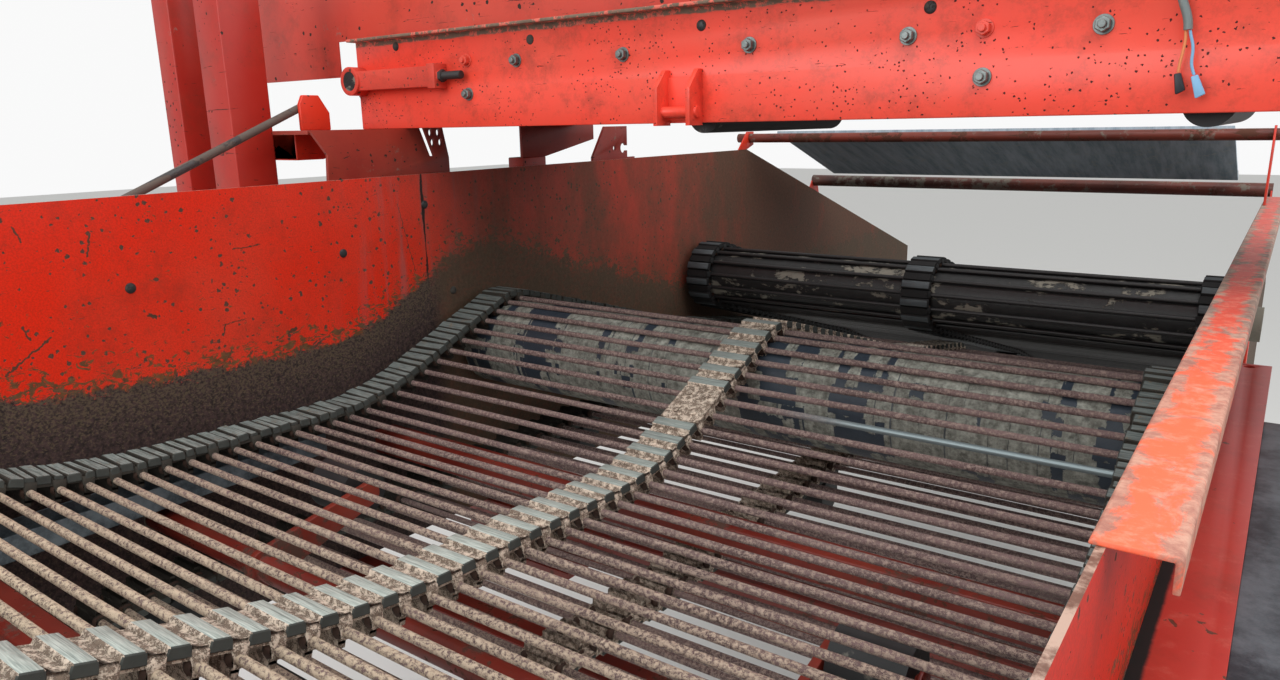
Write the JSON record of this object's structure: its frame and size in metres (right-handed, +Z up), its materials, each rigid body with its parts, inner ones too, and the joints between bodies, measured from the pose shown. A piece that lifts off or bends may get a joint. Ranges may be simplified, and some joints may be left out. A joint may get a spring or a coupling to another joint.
{
  "type": "potato harvester sieving section",
  "caption": "Trough section of a potato harvester: rod-link webs over muddy drums, rubber-wheeled agitator, apron, posts and a cross conveyor above; bolts to the chassis.",
  "frame": {"origin": "middle of the chassis bolts' plane, in the middle of the web's width, straight below the crest drum", "axes": "+X to the right seen in the direction of travel, +Y forward along the webs, +Z up"},
  "size_m": [2.2635, 4.5288, 1.59],
  "materials": {
    "red_paint": "red paint with rust, dried mud and chips",
    "worn_red_paint": "worn dark red paint with bare grey-beige patches",
    "grey_steel": "blue-grey speckled bare steel",
    "muddy_steel": "steel under a dry grey mud crust",
    "rusty_rod": "rusty brown steel with cream earth specks",
    "belt_rubber": "worn grey-green rubber",
    "grey_sheath": "dull grey cable sheath",
    "orange_insulation": "faded orange wire insulation",
    "pale_blue_insulation": "faded light blue wire insulation and sleeve",
    "black_rubber": "dull black rubber with dried dust"
  },
  "bodies": {
    "root": {"left_panel_rear": "red_paint", "left_panel_mid": "red_paint", "left_panel_front": "worn_red_paint", "right_panel": "red_paint", "right_panel_front": "worn_red_paint", "right_cap": "worn_red_paint", "outer_rail": "red_paint", "side_skirt": "grey_steel", "splice_straps": "red_paint", "side_rails": "red_paint", "cross_beams": "red_paint", "foot_plates": "red_paint", "feed_rails": "red_paint", "inner_cross_tubes": "red_paint", "edge_channel": "grey_steel", "bearing_housings": "muddy_steel", "sieve_web_belts": "belt_rubber", "sieve_web_rods": "rusty_rod", "crest_drum": "muddy_steel", "drive_shaft": "grey_steel", "drive_sprockets": "black_rubber", "tail_roller": "muddy_steel", "return_rollers": "black_rubber", "feed_web_belts": "belt_rubber", "feed_web_rods": "rusty_rod", "nose_drum": "muddy_steel", "feed_front_roller": "muddy_steel", "upper_cross_tube": "worn_red_paint", "lower_cross_tube": "worn_red_paint", "rubber_apron": "black_rubber", "apron_strip": "worn_red_paint", "tube_brackets": "red_paint", "conveyor_rear_plate": "red_paint", "conveyor_front_plate": "red_paint", "conveyor_hood": "worn_red_paint", "conveyor_belt": "black_rubber", "conveyor_rollers": "muddy_steel", "conveyor_bearings": "muddy_steel", "conveyor_idlers": "black_rubber", "take_up": "worn_red_paint", "clevis_bracket": "red_paint", "cable_gland": "black_rubber", "cable_sheath": "grey_sheath", "cable_wire_left": "orange_insulation", "cable_wire_right": "pale_blue_insulation", "cable_connector_left": "black_rubber", "cable_connector_right": "pale_blue_insulation", "posts": "red_paint", "conveyor_arms": "red_paint", "seat_plate": "red_paint", "stay_rod": "grey_steel", "stay_lugs": "red_paint"},
    "agitator": {"agitator": "red_paint"},
    "beater_left": {"beater_wheel_left": "black_rubber"},
    "beater_right": {"beater_wheel_right": "black_rubber"}
  },
  "joints": [
    {"name": "agitator_rock", "type": "hinge", "parent": "root", "child": "agitator", "pos_m": [0, -0.82, 0.345], "axis": [1, 0, 0], "range_deg": [-22, 0]},
    {"name": "beater_left_spin", "type": "hinge", "parent": "agitator", "child": "beater_left", "pos_m": [-0.48, -0.62, 0.395], "axis": [1, 0, 0], "continuous": true},
    {"name": "beater_right_spin", "type": "hinge", "parent": "agitator", "child": "beater_right", "pos_m": [0.48, -0.62, 0.395], "axis": [1, 0, 0], "continuous": true}
  ]
}
